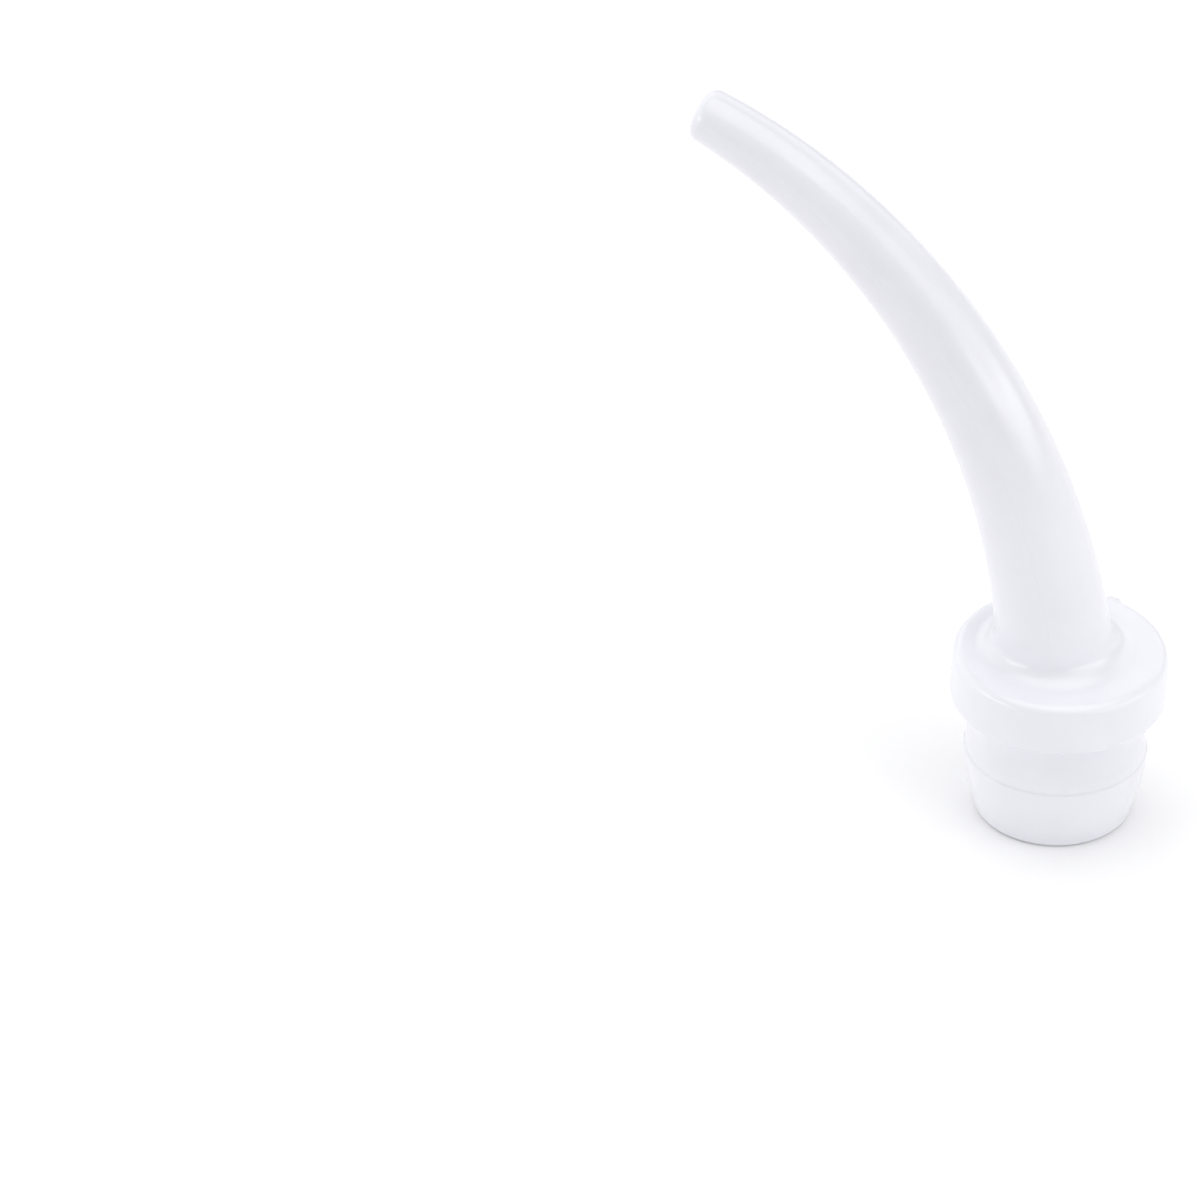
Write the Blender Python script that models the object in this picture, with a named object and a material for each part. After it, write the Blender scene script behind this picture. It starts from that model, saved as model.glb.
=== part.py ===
"""Curved dental ejector tip: a single frosted polypropylene moulding.

It is modelled as its three regions:
  plug    pushes into the holder, with the socket's mouth in its end
  collar  stops the plug, and carries what is left of the moulding gate
  spout   curved, tapering and hollow, with a rounded nose and a small outlet
The plug and the spout each fill a shallow seat in the collar, face to face.

Z runs up the plug's axis from the centre of its end. The spout bends towards -X.
"""

import math

import bmesh
import bpy
from mathutils import Vector

MM = 0.001

# Collar: the driving size is its diameter.
COLLAR_RADIUS = 8.0 * MM / 2
COLLAR_THICKNESS = 2.0 * MM
SEAT_DEPTH = 0.05 * MM
RIM_ROUNDING = 0.4 * MM
UNDERSIDE_ROUNDING = 0.12 * MM

# Plug, from its end up to the collar's underside.
PLUG_LENGTH = 5.0 * MM
PLUG_END_RADIUS = 2.95 * MM
PLUG_END_ROUNDING = 0.25 * MM
BEAD_RADIUS = 3.4 * MM
BEAD_HEIGHT = 2.7 * MM
BEAD_WIDTH = 0.25 * MM
NECK_RADIUS = 3.27 * MM

# Spout: its length is measured along its centre line, and its lean from the plug's axis.
SPOUT_LENGTH = 25.8 * MM
SPOUT_ROOT_RADIUS = 2.17 * MM
SPOUT_NOSE_RADIUS = 1.01 * MM
SPOUT_OFFSET = 0.24 * MM
NOSE_ROUNDING = 0.5 * MM
ROOT_LEAN = math.radians(6.8)
NOSE_LEAN = math.radians(72.1)
BEND_TIGHTENING = 0.2

# Passage: a drafted socket, a cone inside the collar, then the spout's tapering bore.
SOCKET_MOUTH_RADIUS = 2.35 * MM
SOCKET_TOP_RADIUS = 2.2 * MM
SOCKET_DEPTH_IN_COLLAR = 0.7 * MM
BORE_ROOT_RADIUS = 1.55 * MM
OUTLET_RADIUS = 0.4 * MM

# Gate vestige: a short stub left on the collar's rim, beside the plane of the bend. It is one
# segment of the rim wide, which is 0.5 mm, and its foot is well under the collar's top.
GATE_STAND_OUT = 0.28 * MM
GATE_FOOT_DROP = 0.95 * MM

# Mesh fineness.
SEGMENTS = 50
GATE_SEGMENT = 11
SPOUT_STEPS = 22
BORE_STEPS = 16
BARREL_STEPS = 7
ROUNDING_STEPS = 4
SHARP_ANGLE = math.radians(35.0)

COLLAR_BASE = PLUG_LENGTH
COLLAR_TOP = PLUG_LENGTH + COLLAR_THICKNESS
SOCKET_TOP = COLLAR_BASE + SOCKET_DEPTH_IN_COLLAR
PLUG_SEAT = COLLAR_BASE + SEAT_DEPTH
SPOUT_SEAT = COLLAR_TOP - SEAT_DEPTH
GATE_FOOT = COLLAR_TOP - GATE_FOOT_DROP
GATE_ANGLE = 2 * math.pi * (GATE_SEGMENT + 0.5) / SEGMENTS


def clear_scene():
    for old in list(bpy.data.objects):
        bpy.data.objects.remove(old, do_unlink=True)


def polypropylene(name):
    """Frosted, slightly cool white plastic that lets some light through."""
    material = bpy.data.materials.new(name)
    material.use_nodes = True
    shader = material.node_tree.nodes["Principled BSDF"]
    shader.inputs["Base Color"].default_value = (0.86, 0.86, 0.9, 1.0)
    shader.inputs["Roughness"].default_value = 0.36
    shader.inputs["Metallic"].default_value = 0.0
    shader.inputs["Subsurface Weight"].default_value = 0.3
    return material


def rounded_edge(radius, height, rounding, below):
    """(radius, height) points up a quarter round, at the foot of a disc if below, and else at its top."""
    if below:
        start_angle = -math.pi / 2
        centre = Vector((radius - rounding, height + rounding))
    else:
        start_angle = 0.0
        centre = Vector((radius - rounding, height - rounding))
    points = []
    for step in range(ROUNDING_STEPS + 1):
        angle = start_angle + math.pi / 2 * step / ROUNDING_STEPS
        points.append(tuple(centre + rounding * Vector((math.cos(angle), math.sin(angle)))))
    return points


def ring(centre, lean, radius):
    """A circle of points around centre, square to an axis that leans from +Z towards -X."""
    across = Vector((math.cos(lean), 0.0, math.sin(lean)))
    sideways = Vector((0.0, 1.0, 0.0))
    points = []
    for segment in range(SEGMENTS):
        angle = 2 * math.pi * segment / SEGMENTS
        points.append(centre + radius * (math.cos(angle) * across + math.sin(angle) * sideways))
    return points


def turned(profile):
    """Rings around the plug's axis, one for each (radius, height) point."""
    return [ring(Vector((0.0, 0.0, height)), 0.0, radius) for radius, height in profile]


def tube_object(name, rings):
    """A closed tube wall. The rings run up its outside, then back down its inside to the first."""
    mesh = bpy.data.meshes.new(name)
    shape = bmesh.new()
    loops = [[shape.verts.new(point) for point in points] for points in rings]
    for index, lower in enumerate(loops):
        upper = loops[(index + 1) % len(loops)]
        for segment in range(SEGMENTS):
            after = (segment + 1) % SEGMENTS
            shape.faces.new((lower[segment], lower[after], upper[after], upper[segment]))
    shape.to_mesh(mesh)
    shape.free()
    mesh.shade_smooth()
    mesh.set_sharp_from_angle(angle=SHARP_ANGLE)
    tube = bpy.data.objects.new(name, mesh)
    tube.data.materials.append(polypropylene(name))
    bpy.context.scene.collection.objects.link(tube)
    return tube


def socket_radius(height):
    """The socket narrows evenly from its mouth, at height 0, up to its end inside the collar."""
    share = height / SOCKET_TOP
    return SOCKET_MOUTH_RADIUS + (SOCKET_TOP_RADIUS - SOCKET_MOUTH_RADIUS) * share


def barrel_points():
    """The plug's lower part, which swells along a sine curve from its end up to the bead."""
    points = []
    for step in range(1, BARREL_STEPS + 1):
        share = step / BARREL_STEPS
        swell = math.sin(share * math.pi / 2)
        radius = PLUG_END_RADIUS + (BEAD_RADIUS - PLUG_END_RADIUS) * swell
        height = PLUG_END_ROUNDING + (BEAD_HEIGHT - PLUG_END_ROUNDING) * share
        points.append((radius, height))
    return points


def make_plug():
    outside = rounded_edge(PLUG_END_RADIUS, 0.0, PLUG_END_ROUNDING, below=True) + barrel_points()
    outside += [(NECK_RADIUS, BEAD_HEIGHT + BEAD_WIDTH), (NECK_RADIUS, PLUG_SEAT)]
    inside = [(socket_radius(PLUG_SEAT), PLUG_SEAT), (socket_radius(0.0), 0.0)]
    return tube_object("plug", turned(outside + inside))


def is_gate_face(face):
    """Whether the face is one of the two on the rim that the gate joined."""
    middle = face.calc_center_median()
    off_angle = abs(math.atan2(middle.y, middle.x) - GATE_ANGLE)
    first_round = COLLAR_TOP - RIM_ROUNDING * (1 - math.sin(math.pi / 2 / ROUNDING_STEPS))
    outside = math.hypot(middle.x, middle.y) > COLLAR_RADIUS - RIM_ROUNDING
    return outside and off_angle < math.pi / SEGMENTS and GATE_FOOT < middle.z < first_round


def pull_out_gate(collar):
    """Draws the gate's faces straight out of the rim."""
    shape = bmesh.new()
    shape.from_mesh(collar.data)
    gate_faces = [face for face in shape.faces if is_gate_face(face)]
    pulled = bmesh.ops.extrude_face_region(shape, geom=gate_faces)
    outwards = Vector((math.cos(GATE_ANGLE), math.sin(GATE_ANGLE), 0.0))
    for element in pulled["geom"]:
        if isinstance(element, bmesh.types.BMVert):
            element.co += GATE_STAND_OUT * outwards
    bmesh.ops.delete(shape, geom=[face for face in gate_faces if face.is_valid], context="FACES")
    shape.to_mesh(collar.data)
    shape.free()
    collar.data.set_sharp_from_angle(angle=SHARP_ANGLE)


def make_collar():
    """A turned disc with a seat in its underside for the plug, and one in its top for the spout."""
    outside = [(NECK_RADIUS, PLUG_SEAT), (NECK_RADIUS, COLLAR_BASE)]
    outside += rounded_edge(COLLAR_RADIUS, COLLAR_BASE, UNDERSIDE_ROUNDING, below=True)
    outside += [(COLLAR_RADIUS, GATE_FOOT)]
    outside += rounded_edge(COLLAR_RADIUS, COLLAR_TOP, RIM_ROUNDING, below=False)
    seat_edge = [spout_ring(0.0, SPOUT_ROOT_RADIUS), spout_seat_ring(SPOUT_ROOT_RADIUS)]
    bore_mouth = [spout_seat_ring(BORE_ROOT_RADIUS)]
    socket = turned([(SOCKET_TOP_RADIUS, SOCKET_TOP), (socket_radius(PLUG_SEAT), PLUG_SEAT)])
    collar = tube_object("collar", turned(outside) + seat_edge + bore_mouth + socket)
    pull_out_gate(collar)


def lean_at(distance):
    """How far the spout leans at a distance along it. The bend tightens a little towards the nose."""
    share = distance / SPOUT_LENGTH
    turn = (1 - BEND_TIGHTENING) * share + BEND_TIGHTENING * share**2
    return ROOT_LEAN + (NOSE_LEAN - ROOT_LEAN) * turn


def centre_at(distance):
    """The point on the spout's centre line at a distance from its root, summed in short straight steps."""
    steps = 200
    stride = distance / steps
    point = Vector((-SPOUT_OFFSET, 0.0, COLLAR_TOP))
    for step in range(steps):
        lean = lean_at((step + 0.5) * stride)
        point += stride * Vector((-math.sin(lean), 0.0, math.cos(lean)))
    return point


def tapered(root_radius, nose_radius, distance):
    return root_radius + (nose_radius - root_radius) * distance / SPOUT_LENGTH


def spout_ring(distance, radius):
    """A ring around the spout. The first lies flat on the collar, and the others are square to the spout."""
    lean = lean_at(distance) if distance > 0 else 0.0
    return ring(centre_at(distance), lean, radius)


def spout_seat_ring(radius):
    """A flat ring on the floor of the spout's seat."""
    return ring(Vector((-SPOUT_OFFSET, 0.0, SPOUT_SEAT)), 0.0, radius)


def make_spout():
    straight = SPOUT_LENGTH - NOSE_ROUNDING
    outside = [spout_seat_ring(SPOUT_ROOT_RADIUS)]
    for step in range(SPOUT_STEPS + 1):
        distance = straight * step / SPOUT_STEPS
        outside.append(spout_ring(distance, tapered(SPOUT_ROOT_RADIUS, SPOUT_NOSE_RADIUS, distance)))
    nose_radius = tapered(SPOUT_ROOT_RADIUS, SPOUT_NOSE_RADIUS, straight)
    for radius, distance in rounded_edge(nose_radius, SPOUT_LENGTH, NOSE_ROUNDING, below=False)[1:]:
        outside.append(spout_ring(distance, radius))
    inside = []
    for step in range(BORE_STEPS, -1, -1):
        distance = SPOUT_LENGTH * step / BORE_STEPS
        inside.append(spout_ring(distance, tapered(BORE_ROOT_RADIUS, OUTLET_RADIUS, distance)))
    inside.append(spout_seat_ring(BORE_ROOT_RADIUS))
    return tube_object("spout", outside + inside)


def main():
    clear_scene()
    make_plug()
    make_collar()
    make_spout()


main()
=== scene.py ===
"""Finished look of the curved dental ejector tip: a frosted polypropylene moulding on a pale floor.

The plug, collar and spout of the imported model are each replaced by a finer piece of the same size,
with the small features of the real moulding: rounded edges, a seam line along each side of the spout,
a fine lip and turning marks above the bead, and a torn gate stub. Z runs up the plug's axis from the
centre of its end, and the spout bends towards -X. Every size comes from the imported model, or is a
share of its collar's radius or its plug's length.
"""

import math
from collections import namedtuple

import bpy
import bmesh
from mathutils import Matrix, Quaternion, Vector, noise


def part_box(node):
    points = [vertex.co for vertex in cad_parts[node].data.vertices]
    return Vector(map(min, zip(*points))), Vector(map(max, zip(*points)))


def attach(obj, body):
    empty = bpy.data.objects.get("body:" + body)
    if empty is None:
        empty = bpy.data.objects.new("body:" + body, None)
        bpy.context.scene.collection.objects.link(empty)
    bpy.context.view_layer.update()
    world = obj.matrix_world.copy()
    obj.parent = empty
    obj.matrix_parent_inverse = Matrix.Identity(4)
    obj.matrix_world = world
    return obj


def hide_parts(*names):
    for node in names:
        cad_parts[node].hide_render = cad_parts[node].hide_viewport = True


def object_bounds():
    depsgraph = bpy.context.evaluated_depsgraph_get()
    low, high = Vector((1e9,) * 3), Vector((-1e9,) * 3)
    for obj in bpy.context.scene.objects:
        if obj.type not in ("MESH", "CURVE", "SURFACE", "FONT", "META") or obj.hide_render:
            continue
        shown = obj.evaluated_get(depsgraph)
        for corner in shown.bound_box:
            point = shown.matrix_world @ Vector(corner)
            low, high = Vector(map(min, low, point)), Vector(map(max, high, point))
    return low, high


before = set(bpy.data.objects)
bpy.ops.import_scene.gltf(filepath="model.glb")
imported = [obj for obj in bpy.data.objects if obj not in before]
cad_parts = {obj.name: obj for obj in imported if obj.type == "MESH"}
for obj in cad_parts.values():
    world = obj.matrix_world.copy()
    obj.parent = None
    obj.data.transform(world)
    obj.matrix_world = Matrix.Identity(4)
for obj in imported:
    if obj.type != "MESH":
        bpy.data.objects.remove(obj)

CAD_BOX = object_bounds()
PLUG_LOW, PLUG_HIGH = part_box("plug")
COLLAR_LOW, COLLAR_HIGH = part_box("collar")
SPOUT_LOW, SPOUT_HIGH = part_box("spout")

# Driving sizes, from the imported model.
COLLAR_RADIUS = (COLLAR_HIGH.x - COLLAR_LOW.x) / 2
COLLAR_BASE = COLLAR_LOW.z
COLLAR_TOP = COLLAR_HIGH.z
BEAD_RADIUS = (PLUG_HIGH.x - PLUG_LOW.x) / 2
PLUG_LENGTH = COLLAR_LOW.z - PLUG_LOW.z
SPOUT_ROOT_RADIUS = (SPOUT_HIGH.y - SPOUT_LOW.y) / 2
SPOUT_OFFSET = SPOUT_ROOT_RADIUS - SPOUT_HIGH.x
GATE_STAND_OUT = COLLAR_HIGH.y - COLLAR_RADIUS

# The bend, as the spout's lean from the plug's axis.
ROOT_LEAN = math.radians(6.8)
NOSE_LEAN = math.radians(72.1)
BEND_TIGHTENING = 0.2
CENTRE_LINE_STEPS = 400

# Outside of the moulding. A support is the distance from a round or a corner to a row that keeps it crisp.
NOSE_RADIUS = 0.2525 * COLLAR_RADIUS
NOSE_ROUNDING = 0.125 * COLLAR_RADIUS
ROOT_FILLET = 0.2 * COLLAR_RADIUS
RIM_ROUNDING = 0.1 * COLLAR_RADIUS
RIM_SUPPORT = RIM_ROUNDING / 8
UNDERSIDE_ROUNDING = 0.03 * COLLAR_RADIUS
NECK_RADIUS = 0.8175 * COLLAR_RADIUS
NECK_SUPPORT = 0.025 * COLLAR_RADIUS
BEAD_HEIGHT = 0.54 * PLUG_LENGTH
BEAD_LIP = 0.009 * COLLAR_RADIUS
BEAD_LIP_HEIGHT = 0.008 * PLUG_LENGTH
BEAD_SHOULDER = 0.2 * PLUG_LENGTH
PLUG_END_RADIUS = 0.7375 * COLLAR_RADIUS
PLUG_END_ROUNDING = 0.0625 * COLLAR_RADIUS

# Passage, from the socket's mouth to the outlet.
MOUTH_RADIUS = 0.5875 * COLLAR_RADIUS
SOCKET_TOP_RADIUS = 0.55 * COLLAR_RADIUS
SOCKET_TOP = COLLAR_BASE + 0.35 * (COLLAR_TOP - COLLAR_BASE)
BORE_ROOT_RADIUS = 0.3875 * COLLAR_RADIUS
OUTLET_RADIUS = 0.1 * COLLAR_RADIUS
MOUTH_ROUNDING = 0.02 * COLLAR_RADIUS
OUTLET_ROUNDING = 0.02 * COLLAR_RADIUS

# Marks that the mould leaves. The gate is where the parting plane crosses the far side of the rim.
PARTING_X = 0.1253 * COLLAR_RADIUS
ROOT_SEAM_ANGLE = math.radians(68.0)
NOSE_SEAM_ANGLE = math.radians(85.0)
SEAM_WIDTH = 0.012 * COLLAR_RADIUS
SEAM_HEIGHT = 0.0015 * COLLAR_RADIUS
TURNING_PITCH = 0.06 * COLLAR_RADIUS
TURNING_HEIGHT = 0.0015 * COLLAR_RADIUS
TURNING_MARKS = 2
GATE_WIDTH = 0.1375 * COLLAR_RADIUS
GATE_HEIGHT = 0.2 * COLLAR_RADIUS
GATE_DROP = 0.058 * COLLAR_RADIUS
GATE_EDGE = 0.15 * GATE_WIDTH
GATE_REACH = 0.75 * GATE_WIDTH
TEAR_SIZE = GATE_WIDTH / 3.2
TEAR_DEPTH = 0.12 * GATE_STAND_OUT

# The plastic: its clouds, the painted shade that darkens its thin spout against its solid collar, its satin,
# its bumps and its clear coat.
CLOUD_SIZE = 0.6 * COLLAR_RADIUS
CLOUD_DARK = (0.82, 0.822, 0.872)
CLOUD_LIGHT = (0.85, 0.852, 0.902)
# Painted shade: the base colour goes from unshaded on the solid collar to darker on the thin spout, in place
# of light through its wall.
SOLID_UNSHADED = (1.0, 1.0, 1.0)
THIN_PAINTED_SHADE = (0.94, 0.94, 0.94)
PAINTED_SHADE_FROM = 0.4
SATIN_SIZE = 0.15 * COLLAR_RADIUS
SMOOTHEST = 0.32
ROUGHEST = 0.4
FLOW_SIZE = 0.5 * COLLAR_RADIUS
FLOW_HEIGHT = 0.01 * COLLAR_RADIUS
FLOW_STRENGTH = 0.25
GRAIN_SIZE = 0.05 * COLLAR_RADIUS
GRAIN_HEIGHT = 0.002 * COLLAR_RADIUS
GRAIN_STRENGTH = 0.2
PLASTIC_IOR = 1.49
COAT_WEIGHT = 0.7
COAT_ROUGHNESS = 0.18
COAT_IOR = 1.55

# Nearly all of a noise lies between these two values.
NOISE_LOW = 0.3
NOISE_HIGH = 0.7

# The paper that the tip stands on.
FLOOR_RADIUS = 1500 * COLLAR_RADIUS
FLOOR_SEGMENTS = 96
FIBRE_SIZE = 0.05 * COLLAR_RADIUS
PAPER_DARK = (0.955, 0.955, 0.958)
PAPER_LIGHT = (0.975, 0.975, 0.975)
PAPER_ROUGHNESS = 0.95
PAPER_SHINE = 0.1

# Lights. Angles and apparent sizes are in degrees, and white is 1 bright.
OBJECT_MIDDLE = (CAD_BOX[0] + CAD_BOX[1]) / 2
LIGHT_DISTANCE = 120.0 * COLLAR_RADIUS
WORLD_COLOUR = (0.985, 0.985, 1.0)
WORLD_BRIGHTNESS = 0.47
Light = namedtuple("Light", "name azimuth elevation width height brightness")
LIGHTS = [
    Light("right_strip", azimuth=100, elevation=12, width=46, height=12, brightness=1.75),
    Light("left_strip", azimuth=-46, elevation=13, width=38, height=10, brightness=3.9),
    Light("right_softbox", azimuth=90, elevation=22, width=50, height=26, brightness=0.65),
    Light("front_right_softbox", azimuth=66, elevation=16, width=20, height=12, brightness=1.6),
    Light("high_right_softbox", azimuth=78, elevation=48, width=34, height=30, brightness=0.8),
    Light("left_softbox", azimuth=-88, elevation=20, width=60, height=50, brightness=0.7),
    Light("back_softbox", azimuth=190, elevation=30, width=70, height=30, brightness=0.65),
    Light("left_back_softbox", azimuth=-130, elevation=20, width=40, height=30, brightness=0.6),
    Light("top_softbox", azimuth=0, elevation=88, width=60, height=60, brightness=1.3),
]

# The camera, placed in collar radii, and turned so that the tip stands right of the picture's middle.
VIEW_AZIMUTH = 19.8
VIEW_ELEVATION = 36.2
VIEW_ROLL = math.radians(3.06)
VIEW_PAN = math.radians(2.13)
VIEW_TILT = math.radians(0.947)
VIEW_DISTANCE = 113.0 * COLLAR_RADIUS
VIEW_WIDTH = 11.15 * COLLAR_RADIUS
NEAREST_VIEW = VIEW_DISTANCE / 100
FARTHEST_VIEW = VIEW_DISTANCE * 100

# Mesh fineness, the sharpest angle that shades smooth, and the gap that touching pieces keep.
FRONT_COLUMNS = 54
BACK_COLUMNS = 54
GATE_COLUMNS = 10
ROUND_STEPS = 10
SPOUT_STEPS = 150
BORE_STEPS = 90
WALL_STEPS = 36
BARREL_STEPS = 36
NECK_STEPS = 64
UNDERSIDE_STEPS = 6
SHARP_ANGLE = math.radians(50.0)
JOINT_GAP = 0.0005 * COLLAR_RADIUS

Row = namedtuple("Row", "centre lean radius seam_angle seam_height")


def smooth_step(value):
    """0 below 0, 1 above 1, and an even S between."""
    value = min(1.0, max(0.0, value))
    return value * value * (3 - 2 * value)


def plateau(position, half_width, edge):
    """1 in the middle, falling to 0 over an edge that straddles each half width."""
    return smooth_step((half_width + edge / 2 - abs(position)) / edge)


def lean_at(share):
    """The spout's lean at a share of its length. The bend tightens a little towards the nose."""
    turn = (1 - BEND_TIGHTENING) * share + BEND_TIGHTENING * share**2
    return ROOT_LEAN + (NOSE_LEAN - ROOT_LEAN) * turn


def along(lean):
    return Vector((-math.sin(lean), 0.0, math.cos(lean)))


def unit_centre_line():
    """Points on the centre line of a spout of length 1, from its root."""
    points = [Vector((0.0, 0.0, 0.0))]
    for step in range(CENTRE_LINE_STEPS):
        points.append(points[-1] + along(lean_at((step + 0.5) / CENTRE_LINE_STEPS)) / CENTRE_LINE_STEPS)
    return points


def spout_length():
    """The length that puts the nose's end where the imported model's spout ends."""
    root = Vector((-SPOUT_OFFSET, 0.0, COLLAR_TOP))
    forward = along(NOSE_LEAN)
    reach = max((vertex.co - root).dot(forward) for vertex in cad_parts["spout"].data.vertices)
    return reach / CENTRE_LINE[-1].dot(forward)


CENTRE_LINE = unit_centre_line()
SPOUT_LENGTH = spout_length()


def centre_at(distance):
    """The point on the spout's centre line at a distance from its root."""
    place = min(1.0, distance / SPOUT_LENGTH) * CENTRE_LINE_STEPS
    before = min(int(place), CENTRE_LINE_STEPS - 1)
    point = CENTRE_LINE[before].lerp(CENTRE_LINE[before + 1], place - before)
    return Vector((-SPOUT_OFFSET, 0.0, COLLAR_TOP)) + SPOUT_LENGTH * point


def arc(middle_radius, middle_height, rounding, start, end):
    """(radius, height) points along a round in a profile, from one angle in degrees to another."""
    points = []
    for step in range(ROUND_STEPS + 1):
        angle = math.radians(start + (end - start) * step / ROUND_STEPS)
        radius = middle_radius + rounding * math.cos(angle)
        height = middle_height + rounding * math.sin(angle)
        points.append((radius, height))
    return points


def line(start, end, steps):
    """Points between two (radius, height) points, without the ends."""
    points = []
    for step in range(1, steps):
        share = step / steps
        points.append((start[0] + (end[0] - start[0]) * share, start[1] + (end[1] - start[1]) * share))
    return points


def turned_rows(profile):
    """Rows around the plug's axis, with their seam columns in the parting plane."""
    rows = []
    for radius, height in profile:
        seam_angle = math.acos(PARTING_X / radius)
        rows.append(Row(Vector((0.0, 0.0, height)), 0.0, radius, seam_angle, 0.0))
    return rows


def spout_rows(profile, seam_height):
    """Rows around the spout, which turn from flat on the collar to square to the spout in two fillet radii.

    The seam lines rise to their full height in the second of them.
    """
    rows = []
    for radius, distance in profile:
        share = distance / SPOUT_LENGTH
        lean = lean_at(share) * smooth_step(distance / (2 * ROOT_FILLET))
        seam_angle = ROOT_SEAM_ANGLE + (NOSE_SEAM_ANGLE - ROOT_SEAM_ANGLE) * share
        seam = seam_height * smooth_step(distance / ROOT_FILLET - 1)
        rows.append(Row(centre_at(distance), lean, radius, seam_angle, seam))
    return rows


def seat_rows(radii):
    """Flat rows on the collar's top, centred on the spout's root."""
    centre = Vector((-SPOUT_OFFSET, 0.0, COLLAR_TOP))
    return [Row(centre, 0.0, radius, ROOT_SEAM_ANGLE, 0.0) for radius in radii]


def gate_offsets():
    """Close distances around the rim, on both sides of the gate's middle."""
    half = [0.0, SEAM_WIDTH / 2]
    first = half[-1]
    for step in range(1, GATE_COLUMNS + 1):
        half.append(first + (GATE_REACH - first) * step / GATE_COLUMNS)
    return [-offset for offset in reversed(half[1:])] + half


SEAM_OFFSETS = [-SEAM_WIDTH / 2, 0.0, SEAM_WIDTH / 2]
GATE_OFFSETS = gate_offsets()


def columns(row):
    """(angle, distance from a seam line or None, side) around a row, from the near seam round by +X.

    The side is near or far for a seam line's own columns, and plain for the rest.
    """
    found = []
    near = -row.seam_angle
    far = row.seam_angle
    for offset in SEAM_OFFSETS:
        found.append((near + offset / row.radius, offset, "near"))
    start = near + SEAM_OFFSETS[-1] / row.radius
    end = far + GATE_OFFSETS[0] / row.radius
    for step in range(1, FRONT_COLUMNS):
        found.append((start + (end - start) * step / FRONT_COLUMNS, None, "plain"))
    for offset in GATE_OFFSETS:
        found.append((far + offset / row.radius, offset, "far"))
    start = far + GATE_OFFSETS[-1] / row.radius
    end = near + 2 * math.pi + SEAM_OFFSETS[0] / row.radius
    for step in range(1, BACK_COLUMNS):
        found.append((start + (end - start) * step / BACK_COLUMNS, None, "plain"))
    return found


def gate_radius(radius, offset, height):
    """The collar's radius at one place on its rim, drawn out to the torn end of the gate stub."""
    middle = COLLAR_TOP - GATE_DROP - GATE_HEIGHT / 2
    share = plateau(offset, GATE_WIDTH / 2, GATE_EDGE) * plateau(height - middle, GATE_HEIGHT / 2, GATE_EDGE)
    tear = noise.noise(Vector((offset, height, 0.0)) / TEAR_SIZE)
    stub_end = COLLAR_RADIUS + GATE_STAND_OUT + TEAR_DEPTH * (tear - 1)
    return radius + (stub_end - radius) * share


def row_points(row):
    """The row's points, with the seam lines and the gate stub standing out."""
    across = Vector((math.cos(row.lean), 0.0, math.sin(row.lean)))
    sideways = Vector((0.0, 1.0, 0.0))
    on_rim = row.radius > COLLAR_RADIUS - RIM_ROUNDING / 2
    points = []
    for angle, offset, side in columns(row):
        radius = row.radius
        if offset == 0.0:
            radius += row.seam_height
        if on_rim and side == "far":
            radius = gate_radius(radius, offset, row.centre.z)
        points.append(row.centre + radius * (math.cos(angle) * across + math.sin(angle) * sideways))
    return points


def piece_object(name, rows, material):
    """A closed tube wall through the rows, which run up its outside and back down its inside."""
    mesh = bpy.data.meshes.new(name)
    shape = bmesh.new()
    loops = [[shape.verts.new(point) for point in row_points(row)] for row in rows]
    for index, lower in enumerate(loops):
        upper = loops[(index + 1) % len(loops)]
        for column in range(len(lower)):
            after = (column + 1) % len(lower)
            shape.faces.new((lower[column], lower[after], upper[after], upper[column]))
    bmesh.ops.recalc_face_normals(shape, faces=shape.faces[:])
    shape.to_mesh(mesh)
    shape.free()
    mesh.shade_smooth()
    mesh.set_sharp_from_angle(angle=SHARP_ANGLE)
    mesh.materials.append(material)
    piece = bpy.data.objects.new(name, mesh)
    bpy.context.scene.collection.objects.link(piece)
    return piece


def socket_radius(height):
    share = height / SOCKET_TOP
    return MOUTH_RADIUS + (SOCKET_TOP_RADIUS - MOUTH_RADIUS) * share


def barrel_profile():
    """The plug's lower part, which swells along a sine curve up to the bead."""
    points = []
    for step in range(1, BARREL_STEPS + 1):
        share = step / BARREL_STEPS
        swell = math.sin(share * math.pi / 2)
        radius = PLUG_END_RADIUS + (BEAD_RADIUS - PLUG_END_RADIUS) * swell
        height = PLUG_END_ROUNDING + (BEAD_HEIGHT - PLUG_END_ROUNDING) * share
        points.append((radius, height))
    return points


def neck_profile():
    """The bead's crisp lip, its long shoulder with fine turning marks, then the neck."""
    lip_foot = BEAD_HEIGHT + BEAD_LIP_HEIGHT
    shoulder_radius = BEAD_RADIUS - BEAD_LIP
    top = COLLAR_BASE - NECK_SUPPORT
    points = []
    for step in range(NECK_STEPS + 1):
        height = lip_foot + (top - lip_foot) * step / NECK_STEPS
        drop = smooth_step((height - lip_foot) / BEAD_SHOULDER)
        radius = shoulder_radius + (NECK_RADIUS - shoulder_radius) * drop
        marks = (height - lip_foot) / TURNING_PITCH
        if marks <= TURNING_MARKS:
            radius += TURNING_HEIGHT * math.sin(marks * math.pi) ** 2
        points.append((radius, height))
    return points


def make_plug(material):
    outside = arc(PLUG_END_RADIUS - PLUG_END_ROUNDING, PLUG_END_ROUNDING, PLUG_END_ROUNDING, -90, 0)
    outside += barrel_profile() + neck_profile()
    outside += [(NECK_RADIUS, COLLAR_BASE - JOINT_GAP)]
    inside = [(socket_radius(COLLAR_BASE), COLLAR_BASE - JOINT_GAP)]
    inside += line((socket_radius(COLLAR_BASE), COLLAR_BASE), (MOUTH_RADIUS, MOUTH_ROUNDING), WALL_STEPS)
    inside += arc(MOUTH_RADIUS + MOUTH_ROUNDING, MOUTH_ROUNDING, MOUTH_ROUNDING, 180, 270)
    return piece_object("plug_body", turned_rows(outside + inside), material)


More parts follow.
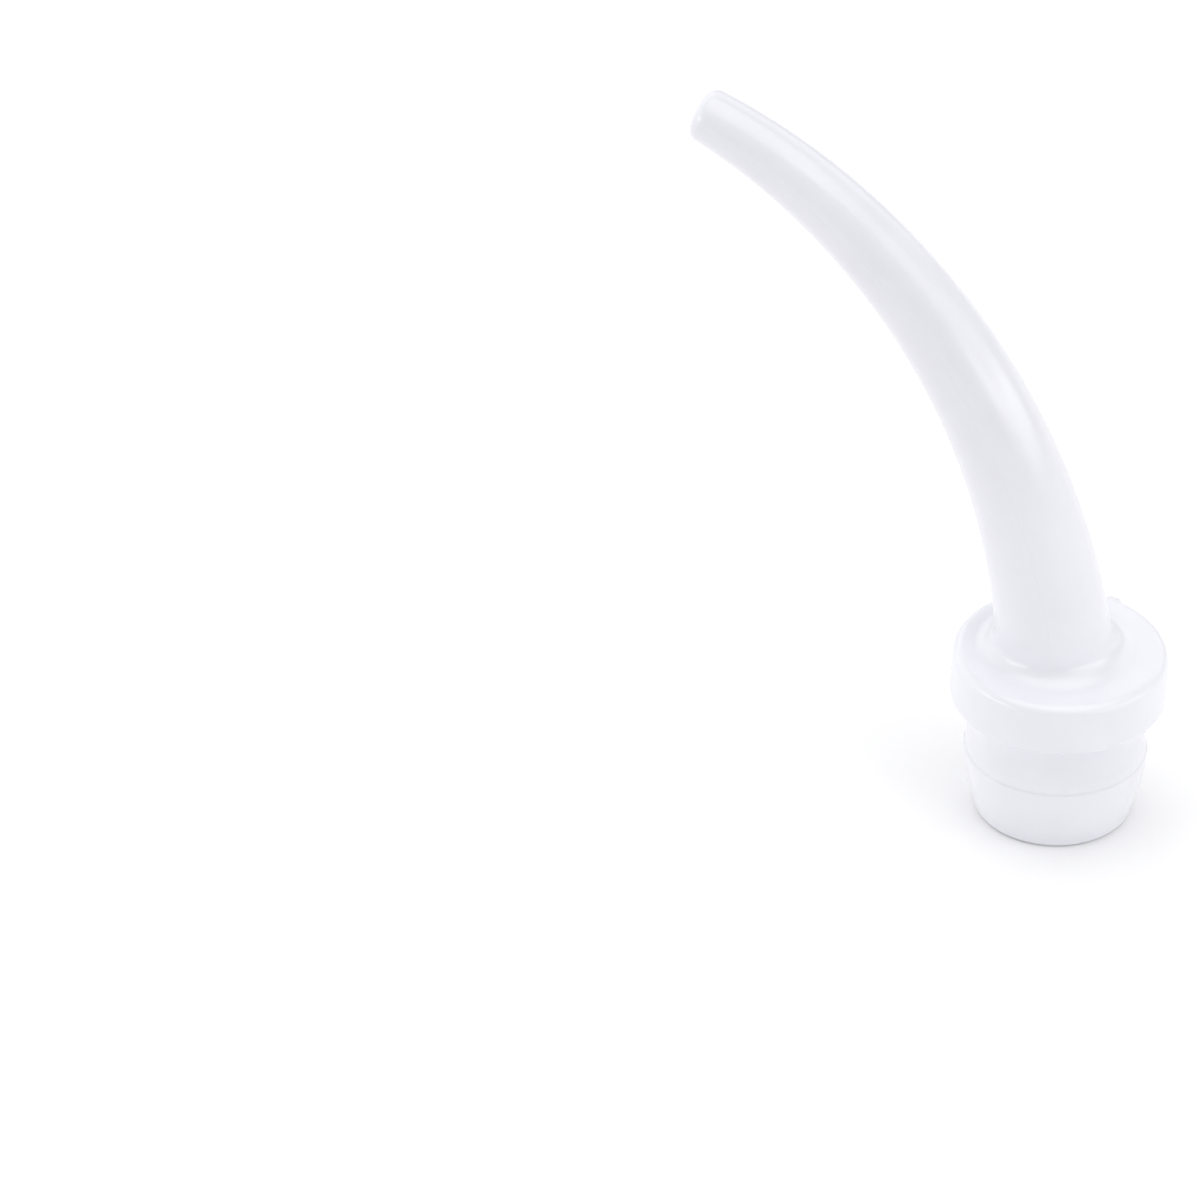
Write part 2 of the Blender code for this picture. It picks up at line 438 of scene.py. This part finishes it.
def make_collar(material):
    foot = COLLAR_BASE + UNDERSIDE_ROUNDING
    shoulder = COLLAR_TOP - RIM_ROUNDING
    underside_edge = COLLAR_RADIUS - UNDERSIDE_ROUNDING
    flat_edge = COLLAR_RADIUS - RIM_ROUNDING
    outside = [(NECK_RADIUS, COLLAR_BASE)]
    outside += line((NECK_RADIUS, COLLAR_BASE), (underside_edge, COLLAR_BASE), UNDERSIDE_STEPS)
    outside += arc(underside_edge, foot, UNDERSIDE_ROUNDING, -90, 0)
    outside += line((COLLAR_RADIUS, foot), (COLLAR_RADIUS, shoulder), WALL_STEPS)
    outside += arc(flat_edge, shoulder, RIM_ROUNDING, 0, 90)
    outside += [(flat_edge - RIM_SUPPORT, COLLAR_TOP)]
    seat = seat_rows((SPOUT_ROOT_RADIUS + ROOT_FILLET, BORE_ROOT_RADIUS))
    inside = [(SOCKET_TOP_RADIUS, SOCKET_TOP), (socket_radius(COLLAR_BASE), COLLAR_BASE)]
    return piece_object("collar_disc", turned_rows(outside) + seat + turned_rows(inside), material)


def tapered(root_radius, nose_radius, distance):
    return root_radius + (nose_radius - root_radius) * distance / SPOUT_LENGTH


def spout_profile():
    """The spout's outside: the fillet at its root, the taper, and the nose."""
    flare = SPOUT_ROOT_RADIUS + ROOT_FILLET
    points = arc(flare, ROOT_FILLET + JOINT_GAP, ROOT_FILLET, -90, -180)
    straight_end = SPOUT_LENGTH - NOSE_ROUNDING
    for step in range(1, SPOUT_STEPS + 1):
        distance = ROOT_FILLET + (straight_end - ROOT_FILLET) * step / SPOUT_STEPS
        radius = tapered(SPOUT_ROOT_RADIUS, NOSE_RADIUS, distance)
        points.append((radius, distance))
    nose_radius = tapered(SPOUT_ROOT_RADIUS, NOSE_RADIUS, straight_end)
    points += arc(nose_radius - NOSE_ROUNDING, straight_end, NOSE_ROUNDING, 0, 90)[1:]
    return points


def make_spout(material):
    outlet = arc(OUTLET_RADIUS + OUTLET_ROUNDING, SPOUT_LENGTH - OUTLET_ROUNDING, OUTLET_ROUNDING, 90, 180)
    bore = []
    for step in range(BORE_STEPS - 1, -1, -1):
        distance = JOINT_GAP + (SPOUT_LENGTH - OUTLET_ROUNDING - JOINT_GAP) * step / BORE_STEPS
        bore.append((tapered(BORE_ROOT_RADIUS, OUTLET_RADIUS, distance), distance))
    rows = spout_rows(spout_profile(), SEAM_HEIGHT) + spout_rows(outlet + bore, 0.0)
    return piece_object("spout_tube", rows, material)


def add_node(tree, kind, **values):
    """A shader node with its settings, and with its inputs set by name."""
    node = tree.nodes.new(kind)
    for name, value in values.items():
        if hasattr(node, name):
            setattr(node, name, value)
        else:
            node.inputs[name.replace("_", " ")].default_value = value
    return node


def noise_node(tree, place, feature, detail):
    """Noise whose features are about that many metres across."""
    node = add_node(tree, "ShaderNodeTexNoise", Scale=1 / feature, Detail=detail)
    tree.links.new(place, node.inputs["Vector"])
    return node.outputs["Fac"]


def ranged(tree, source, low, high):
    """The noise stretched to go from low to high."""
    limits = {"From_Min": NOISE_LOW, "From_Max": NOISE_HIGH, "To_Min": low, "To_Max": high}
    node = add_node(tree, "ShaderNodeMapRange", **limits)
    tree.links.new(source, node.inputs["Value"])
    return node.outputs["Result"]


def bumped(tree, source, height, strength, normal=None):
    node = add_node(tree, "ShaderNodeBump", Strength=strength, Distance=height)
    tree.links.new(source, node.inputs["Height"])
    if normal is not None:
        tree.links.new(normal, node.inputs["Normal"])
    return node.outputs["Normal"]


def ramp(tree, source, low, high, low_colour, high_colour):
    """Colours from one to another as the source goes from low to high."""
    node = tree.nodes.new("ShaderNodeValToRGB")
    for element, position, colour in zip(node.color_ramp.elements, (low, high), (low_colour, high_colour)):
        element.position = position
        element.color = (*colour, 1.0)
    tree.links.new(source, node.inputs["Fac"])
    return node.outputs["Color"]


def multiplied(tree, first, second):
    node = add_node(tree, "ShaderNodeVectorMath", operation="MULTIPLY")
    tree.links.new(first, node.inputs[0])
    tree.links.new(second, node.inputs[1])
    return node.outputs["Vector"]


def painted_wall_shade(tree, place):
    """Painted shade: the spout's colour is darker than the solid collar's, standing in for the light that
    its thin wall lets through.

    The painted shade grows from the collar's top up to a share of the spout's height.
    """
    split = tree.nodes.new("ShaderNodeSeparateXYZ")
    tree.links.new(place, split.inputs["Vector"])
    height = add_node(tree, "ShaderNodeMapRange", From_Min=COLLAR_TOP, From_Max=SPOUT_HIGH.z)
    tree.links.new(split.outputs["Z"], height.inputs["Value"])
    return ramp(tree, height.outputs["Result"], 0.0, PAINTED_SHADE_FROM, SOLID_UNSHADED, THIN_PAINTED_SHADE)


def polypropylene():
    """Frosted natural polypropylene: milky, cool white and satin, with faint clouds and flow waves."""
    material = bpy.data.materials.new("natural_polypropylene")
    material.use_nodes = True
    tree = material.node_tree
    shader = tree.nodes["Principled BSDF"]
    place = tree.nodes.new("ShaderNodeTexCoord").outputs["Object"]

    cloud = noise_node(tree, place, CLOUD_SIZE, detail=3)
    tint = ramp(tree, cloud, NOISE_LOW, NOISE_HIGH, CLOUD_DARK, CLOUD_LIGHT)
    # Base colour: the clouds' tint times the painted shade of the thin spout.
    tree.links.new(multiplied(tree, tint, painted_wall_shade(tree, place)), shader.inputs["Base Color"])

    satin = noise_node(tree, place, SATIN_SIZE, detail=4)
    tree.links.new(ranged(tree, satin, SMOOTHEST, ROUGHEST), shader.inputs["Roughness"])

    flow = noise_node(tree, place, FLOW_SIZE, detail=2)
    frost = noise_node(tree, place, GRAIN_SIZE, detail=2)
    waves = bumped(tree, flow, FLOW_HEIGHT, FLOW_STRENGTH)
    grain = bumped(tree, frost, GRAIN_HEIGHT, GRAIN_STRENGTH, normal=waves)
    tree.links.new(grain, shader.inputs["Normal"])

    shader.inputs["IOR"].default_value = PLASTIC_IOR
    shader.inputs["Coat Weight"].default_value = COAT_WEIGHT
    shader.inputs["Coat Roughness"].default_value = COAT_ROUGHNESS
    shader.inputs["Coat IOR"].default_value = COAT_IOR
    return material


def paper():
    """Matt white seamless paper, with a fibre too fine to see at a distance."""
    material = bpy.data.materials.new("white_paper")
    material.use_nodes = True
    tree = material.node_tree
    shader = tree.nodes["Principled BSDF"]
    place = tree.nodes.new("ShaderNodeTexCoord").outputs["Object"]
    fibre = noise_node(tree, place, FIBRE_SIZE, detail=3)
    tint = ramp(tree, fibre, 0.0, 1.0, PAPER_DARK, PAPER_LIGHT)
    tree.links.new(tint, shader.inputs["Base Color"])
    shader.inputs["Roughness"].default_value = PAPER_ROUGHNESS
    shader.inputs["Specular IOR Level"].default_value = PAPER_SHINE
    return material


def make_floor():
    """A broad disc of white paper under the plug's end."""
    shape = bmesh.new()
    bmesh.ops.create_circle(shape, cap_ends=True, segments=FLOOR_SEGMENTS, radius=FLOOR_RADIUS)
    mesh = bpy.data.meshes.new("floor")
    shape.to_mesh(mesh)
    shape.free()
    mesh.materials.append(paper())
    floor = bpy.data.objects.new("floor", mesh)
    floor.location.z = PLUG_LOW.z
    bpy.context.scene.collection.objects.link(floor)


def direction(azimuth, elevation):
    """The unit vector towards a place seen at that azimuth and elevation in degrees. Azimuth 0 is -Y."""
    around = math.radians(azimuth)
    up = math.radians(elevation)
    return Vector((math.sin(around) * math.cos(up), -math.cos(around) * math.cos(up), math.sin(up)))


def apparent_size(degrees):
    """How wide a light is if it looks that many degrees wide from the object."""
    return 2 * LIGHT_DISTANCE * math.tan(math.radians(degrees / 2))


def make_light(light):
    """A soft rectangular light that faces the object, and that the camera doesn't see."""
    panel = bpy.data.lights.new(light.name, "AREA")
    panel.shape = "RECTANGLE"
    panel.size = apparent_size(light.width)
    panel.size_y = apparent_size(light.height)
    panel.energy = light.brightness * math.pi * panel.size * panel.size_y
    lamp = bpy.data.objects.new(light.name, panel)
    towards = direction(light.azimuth, light.elevation)
    lamp.location = OBJECT_MIDDLE + towards * LIGHT_DISTANCE
    lamp.rotation_mode = "QUATERNION"
    lamp.rotation_quaternion = towards.to_track_quat("Z", "Y")
    lamp.visible_camera = False
    bpy.context.scene.collection.objects.link(lamp)


def make_lights():
    """Low strips draw the highlight on the collar's rim, and softboxes all round light the rest."""
    for light in LIGHTS:
        make_light(light)


def make_world():
    """Even white light from all round, as in a light tent."""
    world = bpy.data.worlds.new("studio")
    world.use_nodes = True
    background = world.node_tree.nodes["Background"]
    background.inputs["Color"].default_value = (*WORLD_COLOUR, 1.0)
    background.inputs["Strength"].default_value = WORLD_BRIGHTNESS
    bpy.context.scene.world = world


def make_camera():
    lens = bpy.data.cameras.new("camera")
    lens.lens = lens.sensor_width * VIEW_DISTANCE / VIEW_WIDTH
    lens.clip_start = NEAREST_VIEW
    lens.clip_end = FARTHEST_VIEW
    camera = bpy.data.objects.new("camera", lens)
    back = direction(VIEW_AZIMUTH, VIEW_ELEVATION)
    camera.location = back * VIEW_DISTANCE
    camera.rotation_mode = "QUATERNION"
    level = back.to_track_quat("Z", "Y")
    roll = Quaternion((0, 0, 1), VIEW_ROLL)
    pan = Quaternion((0, 1, 0), VIEW_PAN)
    tilt = Quaternion((1, 0, 0), VIEW_TILT)
    camera.rotation_quaternion = level @ roll @ pan @ tilt
    bpy.context.scene.collection.objects.link(camera)
    bpy.context.scene.camera = camera


def make_pieces():
    material = polypropylene()
    for node, maker in (("plug", make_plug), ("collar", make_collar), ("spout", make_spout)):
        piece = maker(material)
        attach(piece, "root")
        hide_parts(node)


make_pieces()
make_floor()
make_lights()
make_world()
make_camera()
bpy.context.scene.view_settings.view_transform = "Standard"
